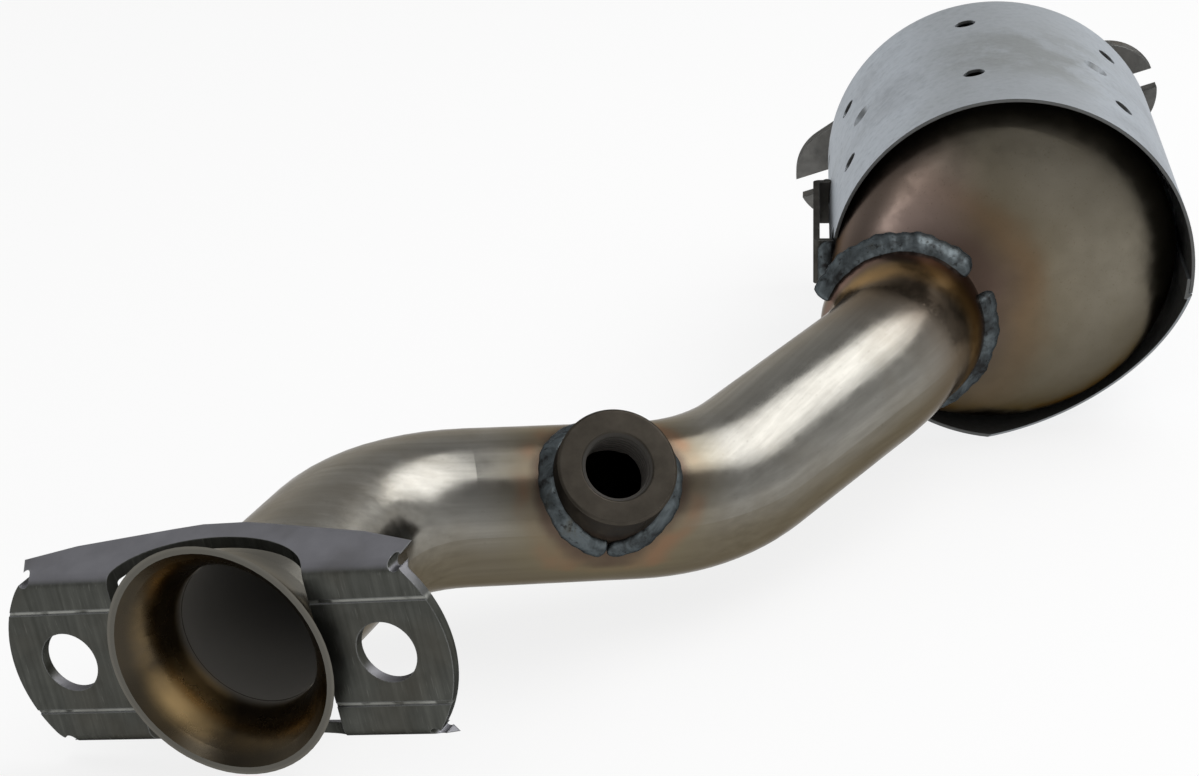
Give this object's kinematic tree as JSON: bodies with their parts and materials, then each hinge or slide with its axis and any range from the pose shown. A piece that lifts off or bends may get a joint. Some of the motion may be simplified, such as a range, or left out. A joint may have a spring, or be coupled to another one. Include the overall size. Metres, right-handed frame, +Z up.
{
  "type": "catalytic converter",
  "caption": "Catalytic converter with a bent front pipe, loose folded inlet flange, sensor boss and two-part heat shield.",
  "frame": {"origin": "midway between the two bolt holes, on the front face of the inlet flange", "axes": "+Y along the axis of the converter can in the direction of the gas, +Z up, +X to the right seen from the inlet"},
  "size_m": [0.3133, 0.3709, 0.1086],
  "materials": {
    "pipe_steel": "satin stainless with heat tint",
    "flange_steel": "dull rolled sheet",
    "boss_steel": "turned steel, darkened by heat",
    "weld_metal": "rippled weld, blue grey",
    "dome_steel": "pressed stainless with heat tint",
    "can_steel": "rolled stainless",
    "shield_sheet": "matt coated sheet",
    "block_ceramic": "porous",
    "mat_fibre": "fibre mat",
    "mesh_wire": "knitted wire",
    "outlet_steel": "dark plate"
  },
  "bodies": {
    "root": {"inlet_pipe": "pipe_steel", "inlet_flange": "flange_steel", "sensor_boss": "boss_steel", "sensor_weld_left": "weld_metal", "sensor_weld_right": "weld_metal", "inlet_dome": "dome_steel", "neck_weld_upper": "weld_metal", "neck_weld_lower": "weld_metal", "can_shell": "can_steel", "catalyst_block": "block_ceramic", "support_mat": "mat_fibre", "mat_seal_front": "mesh_wire", "mat_seal_rear": "mesh_wire", "outlet_cone": "can_steel", "outlet_pipe": "pipe_steel", "outlet_flange": "outlet_steel", "dome_seam_weld": "weld_metal", "cone_seam_weld": "weld_metal", "outlet_pipe_weld": "weld_metal", "outlet_flange_weld": "weld_metal", "heat_shield_upper": "shield_sheet", "heat_shield_lower": "shield_sheet", "side_strap": "shield_sheet", "strap_weld_front": "weld_metal", "strap_weld_rear": "weld_metal"}
  },
  "joints": []
}
